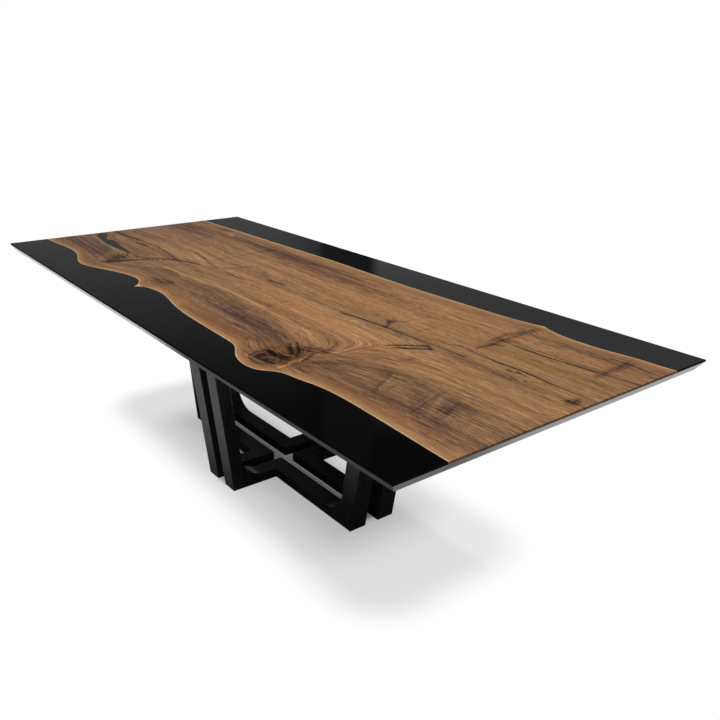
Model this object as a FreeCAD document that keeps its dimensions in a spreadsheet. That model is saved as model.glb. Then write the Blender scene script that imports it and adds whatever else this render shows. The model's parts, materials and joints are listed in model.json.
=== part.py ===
"""Resin dining table, in millimetres.

A live-edge walnut slab lies between two castings of black resin, with its open voids and drying cracks
filled flush. The base is four L-shaped frames that stand back to back in a cross, each of one long and one
short arm. An arm is a floor rail that turns up into a leaning post. Steel plates bridge the post tops, tie
the frames together and carry the top.

Frame: +Z up, origin on the floor under the middle of the top, +X along the length, +Y from the near long
edge to the far one.
"""
import FreeCAD, Part
import Sketcher
import math
import operator
import os

# Driving dimensions. Each becomes one cell of the sheet, under this name.
SIZES = {
    "table_height": 750,
    "top_length": 2800,
    "top_width": 1220,
    "top_thickness": 35,
    "lip_height": 6,
    "bevel_inset": 21,
    "arris_radius": 2,
    "groove_roof": 14.5,
    "fill_margin": 2.5,
    "crack_width": 7,
    "frame_gap": 56,
    "arm_thickness": 70,
    "rail_height": 37,
    "end_overhang": 678,
    "long_lean": 132,
    "long_post": 74,
    "side_overhang": 244,
    "short_lean": 76,
    "short_post": 52,
    "corner_radius": 108,
    "edge_ease": 2,
    "key_margin": 8,
    "key_width": 30,
    "key_thickness": 8,
    "felt_diameter": 36,
    "felt_thickness": 3,
    "felt_inset": 40,
    "plate_thickness": 6,
    "plate_overhang": 44,
    "plate_margin": 13,
    "plate_corner": 8,
    "bolt_diameter": 8,
    "bolt_tip_gap": 1.6,
    "bolt_play": 1,
    "bolt_head_width": 15,
    "bolt_head_height": 5.3,
    "bolt_inset": 22,
    "washer_diameter": 16,
    "washer_thickness": 1.6,
    "insert_diameter": 12,
    "insert_length": 18,
    "screw_diameter": 6,
    "screw_head": 12,
    "screw_length": 60,
    "screw_spacing": 36,
    "stiffener_inset": 130,
    "stiffener_width": 50,
    "stiffener_wall": 3,
    "stiffener_screw_inset": 130,
    "slot_travel": 13,
    "slot_play": 1,
    "cap_diameter": 6,
    "cap_tip_gap": 1.5,
    "cap_head": 12,
    "cap_head_height": 3.3,
    "sleeve_diameter": 10,
    "sleeve_length": 13,
    "fit_clearance": 0.1,
    "groove_clearance": 0.5,
}

# The grain's own lines, drawn on the plan of the top. A point is in thousandths of half the length and half
# the width, so (1000, -1000) is the near right corner. An edge is smooth pieces that meet in a cusp.
NEAR_EDGE_RATIOS = [
    [(-1040, -716), (-879, -700), (-779, -689), (-714, -708), (-643, -761), (-589, -782), (-529, -757),
     (-429, -672), (-357, -633), (-314, -630), (-279, -656), (-246, -718)],
    [(-246, -718), (-225, -675), (-193, -652), (-143, -644), (-71, -669), (0, -700), (143, -726), (286, -738),
     (336, -752), (379, -803), (436, -843), (493, -820), (521, -770), (571, -741), (629, -715), (686, -705),
     (786, -711), (893, -725), (1040, -743)],
]
FAR_EDGE_RATIOS = [
    [(-1040, 670), (-893, 666), (-786, 677), (-571, 685), (-286, 702), (-71, 705), (143, 693), (357, 703),
     (500, 715), (593, 733), (651, 759)],
    [(651, 759), (675, 739), (714, 716), (771, 707), (829, 711), (907, 734), (957, 738), (1040, 767)],
]
CRACK_RATIOS = [
    [(286, 16), (321, 30), (400, 46), (500, 54), (596, 62)],
    [(629, 167), (686, 156), (750, 148), (821, 152), (893, 139), (995, 135)],
    [(646, 402), (714, 393), (786, 393), (857, 410), (921, 426), (995, 440)],
    [(-654, -138), (-567, -156), (-469, -180), (-431, -167), (-395, -138), (-339, -113)],
    [(-260, -77), (-205, -85), (-165, -85), (-124, -79)],
    [(530, -126), (551, -62), (575, -8), (600, 33)],
    [(546, -128), (562, -105), (586, -50), (609, 2)],
]
# An open void is a near and a far line that share both ends.
VOID_RATIOS = [
    ([(-993, -298), (-975, -333), (-897, -375), (-830, -400), (-751, -403), (-691, -395), (-629, -380)],
     [(-993, -298), (-976, -267), (-929, -290), (-894, -334), (-841, -315), (-775, -334), (-686, -358),
      (-629, -380)]),
    ([(397, -644), (418, -671), (450, -667)], [(397, -644), (429, -640), (450, -667)]),
    ([(444, -641), (458, -644), (473, -620)], [(444, -641), (457, -622), (473, -620)]),
]

PLAN_UNIT = 1000
CUTTER_MARGIN = 10
MATCH = 0.01
MITRE_ANGLE = 45
ROOT_TWO = 2 ** 0.5
HEXAGON_SIDES = 6
LEFT_RIGHT = FreeCAD.Vector(1, 0, 0)
NEAR_FAR = FreeCAD.Vector(0, 1, 0)
UP = FreeCAD.Vector(0, 0, 1)

doc = FreeCAD.newDocument("ResinDiningTable")
sheet = doc.addObject("Spreadsheet::Sheet", "Sizes")
nodes = []

OPERATIONS = {"+": operator.add, "-": operator.sub, "*": operator.mul, "/": operator.truediv}


class Size:
    """A number that remembers the sheet formula it comes from."""

    def __init__(self, value, formula):
        self.value = value
        self.formula = formula

    def __add__(self, other):
        return combine(self, "+", other)

    def __radd__(self, other):
        return combine(other, "+", self)

    def __sub__(self, other):
        return combine(self, "-", other)

    def __rsub__(self, other):
        return combine(other, "-", self)

    def __mul__(self, other):
        return combine(self, "*", other)

    def __rmul__(self, other):
        return combine(other, "*", self)

    def __truediv__(self, other):
        return combine(self, "/", other)

    def __neg__(self):
        return combine(0, "-", self)


def as_size(thing):
    """A plain number becomes a size whose formula is that number."""
    return thing if isinstance(thing, Size) else Size(float(thing), repr(thing))


def combine(first, symbol, second):
    """Two sizes joined by an operation, in value and in formula alike."""
    first = as_size(first)
    second = as_size(second)
    value = OPERATIONS[symbol](first.value, second.value)
    return Size(value, "(%s %s %s)" % (first.formula, symbol, second.formula))


def smaller(first, second):
    """The smaller of two sizes."""
    value = min(first.value, second.value)
    return Size(value, "min(%s; %s)" % (first.formula, second.formula))


def fill_sheet():
    """One row per dimension: its name, and its number under an alias of that name."""
    for row, (name, number) in enumerate(SIZES.items(), start=1):
        sheet.set("A%d" % row, name)
        sheet.set("B%d" % row, str(number))
        sheet.setAlias("B%d" % row, name)
    doc.recompute()


def size(name):
    """The sheet's cell of that name."""
    return Size(float(sheet.get(name)), "Sizes." + name)


def bind(item, **formulas):
    """Tie properties of an object to sizes."""
    for name, formula in formulas.items():
        item.setExpression(name, as_size(formula).formula)


def place(item, x, y, z):
    """Tie an object's position to sizes."""
    bind(item, **{".Placement.Base.x": x, ".Placement.Base.y": y, ".Placement.Base.z": z})
    return item


def box(name, low, lengths):
    """A box from its lowest corner and its three lengths."""
    item = doc.addObject("Part::Box", name)
    bind(item, Length=lengths[0], Width=lengths[1], Height=lengths[2])
    return place(item, *low)


def cylinder(name, foot, diameter, height):
    """An upright cylinder from the middle of its foot."""
    item = doc.addObject("Part::Cylinder", name)
    bind(item, Radius=diameter / 2, Height=height)
    return place(item, *foot)


def cone(name, foot, lower, upper, height):
    """An upright cone from the middle of its foot and its lower and upper diameters."""
    item = doc.addObject("Part::Cone", name)
    bind(item, Radius1=lower / 2, Radius2=upper / 2, Height=height)
    return place(item, *foot)


def hexagon(name, foot, corners, height):
    """An upright hexagonal prism, measured across its corners."""
    item = doc.addObject("Part::Prism", name)
    item.Polygon = HEXAGON_SIDES
    bind(item, Circumradius=corners / 2, Height=height)
    return place(item, *foot)


def cut(name, base, tool):
    """The base without the tool."""
    item = doc.addObject("Part::Cut", name)
    item.Base = base
    item.Tool = tool
    return item


def common(name, base, tool):
    """What the base and the tool share."""
    item = doc.addObject("Part::Common", name)
    item.Base = base
    item.Tool = tool
    return item


def fuse(name, pieces):
    """Several shapes grown into one."""
    item = doc.addObject("Part::MultiFuse", name)
    item.Shapes = pieces
    return item


def group(name, pieces):
    """Several separate solids kept side by side."""
    item = doc.addObject("Part::Compound", name)
    item.Links = pieces
    return item


def mirror(name, source, normal):
    """The source seen in an upright mirror through the middle of the table."""
    item = doc.addObject("Part::Mirroring", name)
    item.Source = source
    item.Normal = normal
    return item


def quadrants(name, source):
    """The source, made for the far right quarter, and its images in the other three."""
    far_left = mirror(name + "_far_left", source, LEFT_RIGHT)
    near_right = mirror(name + "_near_right", source, NEAR_FAR)
    near_left = mirror(name + "_near_left", far_left, NEAR_FAR)
    return {"far_right": source, "far_left": far_left, "near_right": near_right, "near_left": near_left}


def node(item, name):
    """Mark an object as a finished piece of the table, under its own name."""
    item.Label = name
    nodes.append(item)
    return item


def origin_plane(body, role):
    """One of a body's three origin planes."""
    return [item for item in body.Origin.OriginFeatures if item.Role == role][0]


def outline(body, name, role, points, lift):
    """A closed outline of straight lines on an origin plane, each corner tied to two sizes."""
    sketch = body.newObject("Sketcher::SketchObject", name)
    sketch.AttachmentSupport = [(origin_plane(body, role), "")]
    sketch.MapMode = "FlatFace"
    bind(sketch, **{".AttachmentOffset.Base.z": lift})
    corners = [(as_size(across), as_size(along)) for across, along in points]
    vectors = [FreeCAD.Vector(across.value, along.value, 0) for across, along in corners]
    for start, end in zip(vectors, vectors[1:] + vectors[:1]):
        sketch.addGeometry(Part.LineSegment(start, end))
    for index in range(len(corners)):
        following = (index + 1) % len(corners)
        sketch.addConstraint(Sketcher.Constraint("Coincident", index, 2, following, 1))
    for index, (across, along) in enumerate(corners):
        for kind, length in (("DistanceX", across), ("DistanceY", along)):
            number = sketch.addConstraint(Sketcher.Constraint(kind, -1, 1, index, 1, length.value))
            sketch.setExpression("Constraints[%d]" % number, length.formula)
    return sketch


def pad(body, name, sketch, length):
    """The outline raised to a solid."""
    feature = body.newObject("PartDesign::Pad", name)
    feature.Profile = sketch
    bind(feature, Length=length)
    doc.recompute()
    return feature


def near_to(first, second):
    """True where two lengths are the same but for rounding."""
    return abs(first - second) < MATCH


def all_at(spots, axis, level):
    """True where all the spots lie at one level of an axis."""
    return all(near_to(getattr(spot, axis), level) for spot in spots)


def edges_where(feature, test):
    """Names of the feature's edges whose two ends and middle, taken together, pass a test."""
    names = []
    for number, edge in enumerate(feature.Shape.Edges, start=1):
        middle = edge.valueAt((edge.FirstParameter + edge.LastParameter) / 2)
        if test([vertex.Point for vertex in edge.Vertexes] + [middle]):
            names.append("Edge%d" % number)
    return names


def fillet(body, name, base, edges, radius):
    """Round some edges of the base."""
    feature = body.newObject("PartDesign::Fillet", name)
    feature.Base = (base, edges)
    bind(feature, Radius=radius)
    doc.recompute()
    return feature


fill_sheet()
table_height = size("table_height")
underside = table_height - size("top_thickness")
post_top = underside - size("plate_thickness")
floor_face = size("felt_thickness")
rail_top = floor_face + size("rail_height")
inner_side = size("frame_gap") / 2
outer_side = inner_side + size("arm_thickness")
arm_middle = inner_side + size("arm_thickness") / 2
fit = size("fit_clearance")
fill_depth = size("groove_roof") - size("fill_margin")
long_end = size("top_length") / 2 - size("end_overhang")
short_end = size("top_width") / 2 - size("side_overhang")
long_middle = long_end - size("long_post") / 2
short_middle = short_end - size("short_post") / 2

# For each way an arm can run: the plane of its profile, where the profile starts on that plane's own normal,
# the axis along the arm and the axis across it. The first plane's normal points to -Y, the second's to +X.
LENGTHWISE = ("XZ_Plane", -outer_side, "x", "y")
CROSSWISE = ("YZ_Plane", inner_side, "y", "x")


def top_blank():
    """The whole top before it is parted: a board with an under-bevelled edge and a rounded arris."""
    half_length = size("top_length") / 2
    half_width = size("top_width") / 2
    body = doc.addObject("PartDesign::Body", "top_blank")
    corners = [(-half_length, -half_width), (half_length, -half_width),
               (half_length, half_width), (-half_length, half_width)]
    board = pad(body, "board", outline(body, "board_outline", "XY_Plane", corners, underside),
                size("top_thickness"))
    bevel = body.newObject("PartDesign::Chamfer", "under_bevel")
    bevel.Base = (board, edges_where(board, lambda spots: all_at(spots, "z", underside.value)))
    bevel.ChamferType = "Two distances"
    bevel.FlipDirection = False
    bind(bevel, Size=size("top_thickness") - size("lip_height"), Size2=size("bevel_inset"))
    doc.recompute()
    rim = edges_where(bevel, lambda spots: all_at(spots, "z", table_height.value))
    fillet(body, "arris", bevel, rim, size("arris_radius"))
    return body


def plan_point(point):
    """A point of the grain's lines, in millimetres on the plan."""
    across = point[0] / PLAN_UNIT * size("top_length").value / 2
    along = point[1] / PLAN_UNIT * size("top_width").value / 2
    return FreeCAD.Vector(across, along, 0)


def smooth(vectors):
    """A smooth edge through some points."""
    curve = Part.BSplineCurve()
    curve.interpolate(vectors)
    return curve.toShape()


def upright_solid(edges, low, high):
    """The outline made of some edges, raised between two heights."""
    wire = Part.Wire(Part.__sortEdges__(edges))
    wire.translate(FreeCAD.Vector(0, 0, low))
    return Part.Face(wire).extrude(FreeCAD.Vector(0, 0, high - low))


def free_form(name, shape):
    """A drawn shape, for what no primitive or sketch gives."""
    item = doc.addObject("Part::Feature", name)
    item.Shape = shape
    return item


def live_edge(pieces):
    """The edges of one live edge, and its two ends."""
    drawn = [[plan_point(point) for point in piece] for piece in pieces]
    return [smooth(vectors) for vectors in drawn], drawn[0][0], drawn[-1][-1]


def band(name, first, second):
    """An upright band between two lines that run the length of the top, taller than the board."""
    edges = first[0] + second[0]
    edges.append(Part.LineSegment(first[1], second[1]).toShape())
    edges.append(Part.LineSegment(first[2], second[2]).toShape())
    low = underside.value - CUTTER_MARGIN
    return free_form(name, upright_solid(edges, low, table_height.value + CUTTER_MARGIN))


def outer_line(edge, side):
    """A straight line outside the board, beside a live edge."""
    offset = FreeCAD.Vector(0, side * (size("top_width").value / 2 + CUTTER_MARGIN), 0)
    start = FreeCAD.Vector(edge[1].x, 0, 0) + offset
    end = FreeCAD.Vector(edge[2].x, 0, 0) + offset
    return [Part.LineSegment(start, end).toShape()], start, end


def fill(edges):
    """The resin inside an outline of edges, flush with the top."""
    return upright_solid(edges, table_height.value - fill_depth.value, table_height.value)


def crack(points):
    """A fill about a centre line: none of its width at the two ends, all of it halfway."""
    vectors = [plan_point(point) for point in points]
    left = []
    right = []
    for index in range(1, len(vectors) - 1):
        along = (vectors[index + 1] - vectors[index - 1]).normalize()
        swell = math.sin(math.pi * index / (len(vectors) - 1))
        aside = FreeCAD.Vector(-along.y, along.x, 0) * (size("crack_width").value / 2 * swell)
        left.append(vectors[index] + aside)
        right.append(vectors[index] - aside)
    start, end = vectors[0], vectors[-1]
    return fill([smooth([start] + left + [end]), smooth([start] + right + [end])])


def void(lines):
    """A fill between a near and a far line that share both ends."""
    return fill([smooth([plan_point(point) for point in line]) for line in lines])


def make_fills():
    """The resin in the open voids and in the drying cracks."""
    voids = Part.makeCompound([void(lines) for lines in VOID_RATIOS])
    cracks = Part.makeCompound([crack(points) for points in CRACK_RATIOS])
    return node(free_form("void_fill_solids", voids), "knot_fills"), node(
        free_form("crack_fill_solids", cracks), "crack_fills")


def make_top(routing):
    """The board with its underside routed, parted along the live edges into wood and resin."""
    routed = cut("routed_top", top_blank(), routing)
    near = live_edge(NEAR_EDGE_RATIOS)
    far = live_edge(FAR_EDGE_RATIOS)
    node(common("near_casting", routed, band("near_band", near, outer_line(near, -1))), "resin_near")
    node(common("far_casting", routed, band("far_band", far, outer_line(far, 1))), "resin_far")
    slab = common("slab", routed, band("wood_band", near, far))
    knot_fills, crack_fills = make_fills()
    open_slab = cut("slab_with_open_knots", slab, knot_fills)
    node(cut("slab_with_cracks", open_slab, crack_fills), "walnut_slab")


def make_stiffeners():
    """Two steel channels let into the underside, with their screws and threaded sleeves."""
    middle = (long_end + size("plate_margin") + size("top_length") / 2) / 2
    width = size("stiffener_width")
    length = size("top_width") - 2 * size("stiffener_inset")
    wall = size("stiffener_wall")
    gap = size("groove_clearance")
    height = size("top_thickness") - size("groove_roof") - gap
    low = underside - CUTTER_MARGIN
    web_top = underside + wall
    outside = box("channel_block", (middle - width / 2, -length / 2, underside), (width, length, height))
    inside = box("channel_hollow", (middle - width / 2 + wall, -length / 2 - CUTTER_MARGIN, web_top),
                 (width - 2 * wall, length + 2 * CUTTER_MARGIN, height))
    slots = []
    screws = []
    sleeves = []
    holes = []
    straight = size("slot_travel")
    slot_width = size("cap_diameter") + size("slot_play")
    bore = size("cap_diameter") + 2 * fit
    sleeve_low = web_top + gap
    sleeve_top = sleeve_low + size("sleeve_length")
    for index, step in enumerate((-1, 0, 1)):
        along = step * (length / 2 - size("stiffener_screw_inset"))
        slot_height = wall + 2 * CUTTER_MARGIN
        slots.append(box("slot_%d" % index, (middle - slot_width / 2, along - straight / 2, low),
                         (slot_width, straight, slot_height)))
        for end in (-1, 1):
            slots.append(cylinder("slot_end_%d_%d" % (index, end + 1),
                                  (middle, along + end * straight / 2, low), slot_width, slot_height))
        head = cylinder("cap_head_%d" % index, (middle, along, underside - size("cap_head_height")),
                        size("cap_head"), size("cap_head_height"))
        shank = cylinder("cap_shank_%d" % index, (middle, along, underside), size("cap_diameter"),
                         sleeve_top - size("cap_tip_gap") - underside)
        screws.append(fuse("cap_screw_%d" % index, [head, shank]))
        tube = cylinder("sleeve_body_%d" % index, (middle, along, sleeve_low), size("sleeve_diameter"),
                        size("sleeve_length"))
        core = cylinder("sleeve_bore_%d" % index, (middle, along, low), bore, table_height - low)
        sleeves.append(cut("sleeve_%d" % index, tube, core))
        holes.append(cylinder("sleeve_hole_%d" % index, (middle, along, low),
                              size("sleeve_diameter") + 2 * fit, sleeve_top - low))
    channel = cut("channel_right", cut("channel", outside, inside), fuse("channel_slots", slots))
    node(channel, "stiffener_right")
    node(mirror("channel_left", channel, LEFT_RIGHT), "stiffener_left")
    pair(screws, "stiffener_screws")
    pair(sleeves, "stiffener_inserts")
    groove_block = box("groove_block", (middle - width / 2 - gap, -length / 2 - gap, low),
                       (width + 2 * gap, length + 2 * gap, height + gap + CUTTER_MARGIN))
    groove_core = box("groove_core",
                      (middle - width / 2 + wall + gap, -length / 2 - CUTTER_MARGIN, sleeve_low),
                      (width - 2 * wall - 2 * gap, length + 2 * CUTTER_MARGIN, height))
    groove = fuse("groove", [cut("groove_channel", groove_block, groove_core)] + holes)
    return [groove, mirror("groove_left", groove, LEFT_RIGHT)]


def pair(pieces, name):
    """Pieces of the right half and their images in the left half, as one node."""
    right = group(name + "_right", pieces)
    return node(group(name + "_all", [right, mirror(name + "_left", right, LEFT_RIGHT)]), name)


def four_quarters(pieces, name):
    """Pieces of the far right quarter and their images in the other three, as one node."""
    quarter = group(name + "_quarter", pieces)
    return node(group(name + "_all", list(quadrants(name, quarter).values())), name)


def make_arm(name, end, lean, post, lengthwise):
    """A floor rail that turns up into a leaning post, mitred where it meets the other arm of its frame."""
    body = doc.addObject("PartDesign::Body", name)
    slope = lean / (post_top - floor_face)
    toe = end - lean
    heel = toe + slope * size("rail_height") - post
    profile = [(inner_side, floor_face), (toe, floor_face), (end, post_top), (end - post, post_top),
               (heel, rail_top), (inner_side, rail_top)]
    role, start, along, across = LENGTHWISE if lengthwise else CROSSWISE
    side = outline(body, name + "_profile", role, profile, start)
    plain = pad(body, name + "_plain", side, size("arm_thickness"))
    corner = edges_where(plain, lambda spots: all_at(spots, "z", rail_top.value)
                         and all_at(spots, along, heel.value))
    fillet(body, name + "_corner", plain, corner, smaller(size("corner_radius"), heel - outer_side))
    waste = [(inner_side, inner_side), (outer_side, outer_side)]
    waste.append((inner_side, outer_side) if lengthwise else (outer_side, inner_side))
    mitre = body.newObject("PartDesign::Pocket", name + "_mitre")
    mitre.Profile = outline(body, name + "_waste", "XY_Plane", waste, floor_face)
    mitre.Reversed = True
    mitre.Type = "ThroughAll"
    doc.recompute()

    def is_long_arris(spots):
        on_side = all_at(spots, across, inner_side.value) or all_at(spots, across, outer_side.value)
        at_end = all_at(spots, "z", floor_face.value) or all_at(spots, "z", post_top.value)
        upright = all_at(spots, along, getattr(spots[0], along))
        return on_side and not at_end and not upright

    fillet(body, name + "_eased", mitre, edges_where(mitre, is_long_arris), size("edge_ease"))
    return body


def turned_box(name, length, width, low, height):
    """A box set across the mitre, at 45 degrees to both arms."""
    item = box(name, (arm_middle - (length + width) / (2 * ROOT_TWO),
                      arm_middle + (length - width) / (2 * ROOT_TWO), low), (length, width, height))
    item.Placement.Rotation = FreeCAD.Rotation(UP, -MITRE_ANGLE)
    return item


def make_base():
    """Eight arms in four frames, with the tongues in their mitres and the felt under their rails."""
    key_low = floor_face + (size("rail_height") - size("key_thickness")) / 2
    key_length = (size("arm_thickness") - 2 * size("key_margin")) * ROOT_TWO - size("key_width")
    key = turned_box("key", key_length, size("key_width"), key_low, size("key_thickness"))
    slot = turned_box("key_slot", key_length + 2 * fit, size("key_width") + 2 * fit, key_low - fit,
                      size("key_thickness") + 2 * fit)
    four_quarters([key], "mitre_keys")
    holes = post_screw_shapes("pilot", fit)
    arms = {
        "arm_long": make_arm("long", long_end, size("long_lean"), size("long_post"), True),
        "arm_short": make_arm("short", short_end, size("short_lean"), size("short_post"), False),
    }
    for name, body in arms.items():
        slotted = cut(name + "_slotted", body, slot)
        drilled = cut(name + "_drilled", slotted, group(name + "_pilots", holes[name]))
        for quarter, arm in quadrants(name, drilled).items():
            node(arm, name + "_" + quarter)
    inset = size("felt_inset")
    spots = [(long_end - size("long_lean") - inset, arm_middle), (outer_side + inset, arm_middle),
             (arm_middle, short_end - size("short_lean") - inset)]
    felts = [cylinder("felt_%d" % index, (x, y, 0), size("felt_diameter"), floor_face)
             for index, (x, y) in enumerate(spots)]
    four_quarters(felts, "felt_glides")


def post_spots():
    """The plan of the post tops in the far right quarter: where each arm's two screws go."""
    half = size("screw_spacing") / 2
    return {
        "arm_long": [(long_middle, arm_middle - half), (long_middle, arm_middle + half)],
        "arm_short": [(arm_middle - half, short_middle), (arm_middle + half, short_middle)],
    }


def post_screw_shapes(name, spare):
    """Countersunk screws down through the plates into the posts, grown by a spare all round."""
    head_height = (size("screw_head") - size("screw_diameter")) / 2
    thin = size("screw_diameter") + 2 * spare
    wide = size("screw_head") + 2 * spare
    foot = underside - size("screw_length") - spare
    shapes = {}
    for arm, spots in post_spots().items():
        shapes[arm] = []
        for index, (x, y) in enumerate(spots):
            label = "%s_%s_%d" % (name, arm, index)
            shank = cylinder(label + "_shank", (x, y, foot), thin, underside - head_height - foot)
            head = cone(label + "_head", (x, y, underside - head_height), thin, wide, head_height)
            shapes[arm].append(fuse(label, [shank, head]))
    return shapes


def bolt_spots():
    """The plan of the plate bolts in the far right quarter: two at the end of each plate."""
    beside = outer_side + size("plate_overhang") / 2
    spots = []
    for arm, places in post_spots().items():
        post = size("long_post") if arm == "arm_long" else size("short_post")
        reach = post / 2 + size("plate_margin") - size("bolt_inset")
        for sign in (-1, 1):
            if arm == "arm_long":
                spots.append((places[0][0] + sign * reach, beside))
            else:
                spots.append((beside, places[0][1] + sign * reach))
    return spots


def make_plate(name, half_across, middle, lengthwise):
    """A steel plate over two neighbouring post tops, with rounded corners."""
    ends = outer_side + size("plate_overhang")
    low = middle - half_across
    high = middle + half_across
    corners = [(low, -ends), (high, -ends), (high, ends), (low, ends)]
    if not lengthwise:
        corners = [(along, across) for across, along in corners]
    body = doc.addObject("PartDesign::Body", name)
    sheet_metal = pad(body, name + "_flat", outline(body, name + "_outline", "XY_Plane", corners, post_top),
                      size("plate_thickness"))
    uprights = edges_where(sheet_metal, lambda spots: not near_to(spots[0].z, spots[1].z))
    fillet(body, name + "_corners", sheet_metal, uprights, size("plate_corner"))
    return body


def make_plates():
    """Four plates that carry the top, with their bolts, washers, threaded inserts and screws."""
    spots = bolt_spots()
    washer_low = post_top - size("washer_thickness")
    bore = size("bolt_diameter") + 2 * fit
    bolt_hole = size("bolt_diameter") + size("bolt_play")
    bolt_low = post_top - CUTTER_MARGIN
    bolt_tip = underside + size("insert_length") - size("bolt_tip_gap")
    bolts = []
    washers = []
    inserts = []
    bolt_holes = []
    insert_holes = []
    for index, (x, y) in enumerate(spots):
        head = hexagon("bolt_head_%d" % index, (x, y, washer_low - size("bolt_head_height")),
                       size("bolt_head_width"), size("bolt_head_height"))
        shank = cylinder("bolt_shank_%d" % index, (x, y, washer_low), size("bolt_diameter"),
                         bolt_tip - washer_low)
        bolts.append(fuse("bolt_%d" % index, [head, shank]))
        ring = cylinder("washer_disc_%d" % index, (x, y, washer_low), size("washer_diameter"),
                        size("washer_thickness"))
        tube = cylinder("insert_body_%d" % index, (x, y, underside), size("insert_diameter"),
                        size("insert_length"))
        core = cylinder("bolt_bore_%d" % index, (x, y, bolt_low), bore, table_height - bolt_low)
        washers.append(cut("washer_%d" % index, ring, core))
        inserts.append(cut("insert_%d" % index, tube, core))
        bolt_holes.append(cylinder("bolt_hole_%d" % index, (x, y, bolt_low), bolt_hole, underside - bolt_low))
        insert_holes.append(cylinder("insert_hole_%d" % index, (x, y, underside - CUTTER_MARGIN),
                                     size("insert_diameter") + 2 * fit,
                                     size("insert_length") + CUTTER_MARGIN))
    four_quarters(bolts, "plate_bolts")
    four_quarters(washers, "plate_washers")
    four_quarters(inserts, "plate_inserts")
    screws = post_screw_shapes("screw", as_size(0))
    four_quarters(screws["arm_long"] + screws["arm_short"], "post_screws")
    screw_holes = post_screw_shapes("countersink", fit)
    quarter = group("plate_holes_quarter", bolt_holes + screw_holes["arm_long"] + screw_holes["arm_short"])
    holes = group("plate_holes", list(quadrants("plate_holes", quarter).values()))
    places = post_spots()
    across = {"right": size("long_post") / 2, "far": size("short_post") / 2}
    right = make_plate("right_plate", across["right"] + size("plate_margin"), places["arm_long"][0][0], True)
    far = make_plate("far_plate", across["far"] + size("plate_margin"), places["arm_short"][0][1], False)
    plate_right = node(cut("drilled_right", right, holes), "plate_right")
    plate_far = node(cut("drilled_far", far, holes), "plate_far")
    node(mirror("drilled_left", plate_right, LEFT_RIGHT), "plate_left")
    node(mirror("drilled_near", plate_far, NEAR_FAR), "plate_near")
    sockets = group("insert_holes_quarter", insert_holes)
    return list(quadrants("insert_holes", sockets).values())


def check():
    """Stop unless every object was rebuilt and every node is valid solids."""
    for item in doc.Objects:
        if "Invalid" in item.State or "Error" in item.State:
            raise RuntimeError("%s failed: %s" % (item.Name, item.State))
    for item in nodes:
        shape = item.Shape
        if shape.isNull() or not shape.isValid() or not shape.Solids:
            raise RuntimeError("%s has no valid solid" % item.Label)
        if min(solid.Volume for solid in shape.Solids) <= 0:
            raise RuntimeError("%s has an empty solid" % item.Label)


def export():
    """Write each node to its own file."""
    os.makedirs("parts", exist_ok=True)
    for item in nodes:
        item.Shape.exportStep("parts/%s.step" % item.Label)


routing = fuse("routing", make_stiffeners() + make_plates())
make_base()
make_top(routing)
doc.recompute()
check()
export()
for item in nodes:
    print("%-22s %3d solids %12.0f mm3" % (item.Label, len(item.Shape.Solids), item.Shape.Volume))
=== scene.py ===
"""Resin dining table: the finishes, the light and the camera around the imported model.

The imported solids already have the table's shapes, so they are shown as they are, each in its own finish.
Lengths are in metres, in the frame of the solids: +X along the table, +Y from the near edge to the far one.
"""
import json
import math

import bpy
import numpy as np
from mathutils import Matrix, Vector


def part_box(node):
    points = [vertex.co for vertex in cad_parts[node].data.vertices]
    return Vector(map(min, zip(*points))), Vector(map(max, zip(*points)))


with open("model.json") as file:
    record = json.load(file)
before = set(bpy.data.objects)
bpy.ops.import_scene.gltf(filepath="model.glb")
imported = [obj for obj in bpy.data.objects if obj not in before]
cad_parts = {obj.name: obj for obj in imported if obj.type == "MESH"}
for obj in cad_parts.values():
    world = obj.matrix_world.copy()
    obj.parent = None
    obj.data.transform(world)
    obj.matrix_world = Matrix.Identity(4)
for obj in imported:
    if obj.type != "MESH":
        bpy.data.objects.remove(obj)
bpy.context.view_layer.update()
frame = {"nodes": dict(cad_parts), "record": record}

MM = 0.001
_, slab_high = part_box("walnut_slab")
casting_low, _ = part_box("resin_near")
TOP = slab_high.z
HALF_LENGTH = slab_high.x
HALF_WIDTH = -casting_low.y

# The upright lip of the edge, and how softly the finish changes at its lower end.
LIP = 6 * MM
LIP_BLEND = 0.2 * MM

# The camera: where it stands, how it turns about the upright, tips and rolls, and its lens on a square frame.
CAMERA_PLACE = (2.4481, -1.5252, 1.5553)
CAMERA_TURN = 51.797
CAMERA_TILT = 69.054
CAMERA_ROLL = 0.7235
CAMERA_LENS = 38.4945
CAMERA_SENSOR = 36

# Where growth lines leave their straight course: middle in x and y, half lengths along and across, and how
# far the lines dip towards the near edge there, in millimetres.
LINE_DIPS = [
    (560, -430, 110, 110, 40),
    (850, -330, 160, 90, 34),
    (-820, -450, 170, 140, 50),
    (-470, -420, 150, 120, -42),
    (-345, -440, 30, 62, 30),
    (-1050, 170, 380, 170, -58),
    (-1100, -230, 330, 130, 40),
    (912, 455, 55, 100, -34),
    (1275, 440, 60, 80, -14),
    (575, 85, 45, 40, 14),
    (915, 200, 50, 70, 18),
]

# Leaning seams where two runs of growth lines meet: a point in x and y, the lean in x for each unit of y, how
# far to the left and to the right the lines bend down to the seam, by how much they dip on the two sides, and
# the middle and half length in y. Lengths are in millimetres.
SEAMS = [
    (655, -300, 0.39, 62, 140, 88, 116, -235, 118),
    (-775, -360, 0.57, 80, 150, 34, 14, -250, 120),
]

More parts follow.
